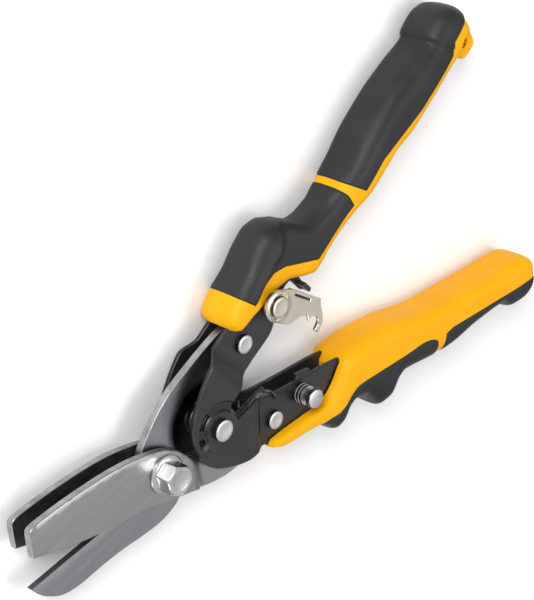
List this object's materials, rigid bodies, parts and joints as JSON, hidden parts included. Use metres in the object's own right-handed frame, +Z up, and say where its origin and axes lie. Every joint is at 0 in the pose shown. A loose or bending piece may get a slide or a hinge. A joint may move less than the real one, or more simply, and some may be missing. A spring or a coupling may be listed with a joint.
{
  "type": "aviation snips",
  "caption": "Compound-action snips with a forked jaw over one centre blade, a riveted black frame, a hooked latch and two-tone cushioned handles.",
  "frame": {"origin": "middle of the bounding box at its lowest face, with the snips lying on one side", "axes": "+X along the tool towards the jaws, +Y across the tool towards the handle that carries the latch stud, +Z up along the pivots"},
  "size_m": [0.272, 0.148, 0.0255],
  "materials": {
    "blade_steel": "brushed, lengthways",
    "zinc_steel": "bright zinc plate",
    "rivet_steel": "satin",
    "spring_steel": "dull",
    "latch_nickel": "satin nickel plate",
    "frame_black": "satin black",
    "yellow_plastic": "semi-gloss",
    "black_rubber": "fine matt texture"
  },
  "bodies": {
    "lower_handle": {"lower_cheek_near": "frame_black", "lower_cheek_far": "frame_black", "handle_pivot_rivet": "rivet_steel", "handle_pivot_bush": "zinc_steel", "handle_pivot_washers": "zinc_steel", "fork_blade_rivet": "rivet_steel", "latch_stud": "rivet_steel", "return_spring": "spring_steel", "lower_handle_core": "yellow_plastic", "lower_front_grip": "black_rubber", "lower_rear_grip": "black_rubber"},
    "upper_handle": {"upper_cheek_near": "frame_black", "upper_cheek_far": "frame_black", "centre_blade_rivet": "rivet_steel", "centre_blade_spacers": "zinc_steel", "latch_rivet": "latch_nickel", "latch_bush": "frame_black", "upper_handle_core": "yellow_plastic", "upper_front_grip": "black_rubber", "upper_rear_grip": "black_rubber"},
    "fork_jaw": {"fork_blade_near": "blade_steel", "fork_blade_far": "blade_steel", "blade_pivot_bolt": "zinc_steel", "blade_pivot_nut": "zinc_steel", "thrust_washers": "zinc_steel"},
    "centre_jaw": {"centre_blade": "blade_steel"},
    "latch": {"latch_plate": "latch_nickel"}
  },
  "joints": [
    {"name": "handle_squeeze", "type": "hinge", "parent": "lower_handle", "child": "upper_handle", "pos_m": [0.04373, 0.00051, 0.011], "axis": [0, 0, -1], "range_deg": [0, 32], "stiffness_Nm_per_rad": 1.2, "springref_deg": -28.65, "deforming": ["return_spring"]},
    {"name": "fork_swing", "type": "hinge", "parent": "lower_handle", "child": "fork_jaw", "pos_m": [0.01813, 0.02061, 0.011], "axis": [0, 0, -1], "range_deg": [0, 7.7]},
    {"name": "centre_blade_cut", "type": "hinge", "parent": "fork_jaw", "child": "centre_jaw", "pos_m": [0.07073, 0.00051, 0.011], "axis": [0, 0, -1], "range_deg": [0, 16.8]},
    {"name": "latch_swing", "type": "hinge", "parent": "upper_handle", "child": "latch", "pos_m": [0.00151, -0.02655, 0.011], "axis": [0, 0, -1], "range_deg": [0, 24.2]}
  ],
  "couplings": [
    {"joint": "fork_swing", "follows": "handle_squeeze", "ratio": 0.239},
    {"joint": "centre_blade_cut", "follows": "handle_squeeze", "ratio": 0.522}
  ]
}
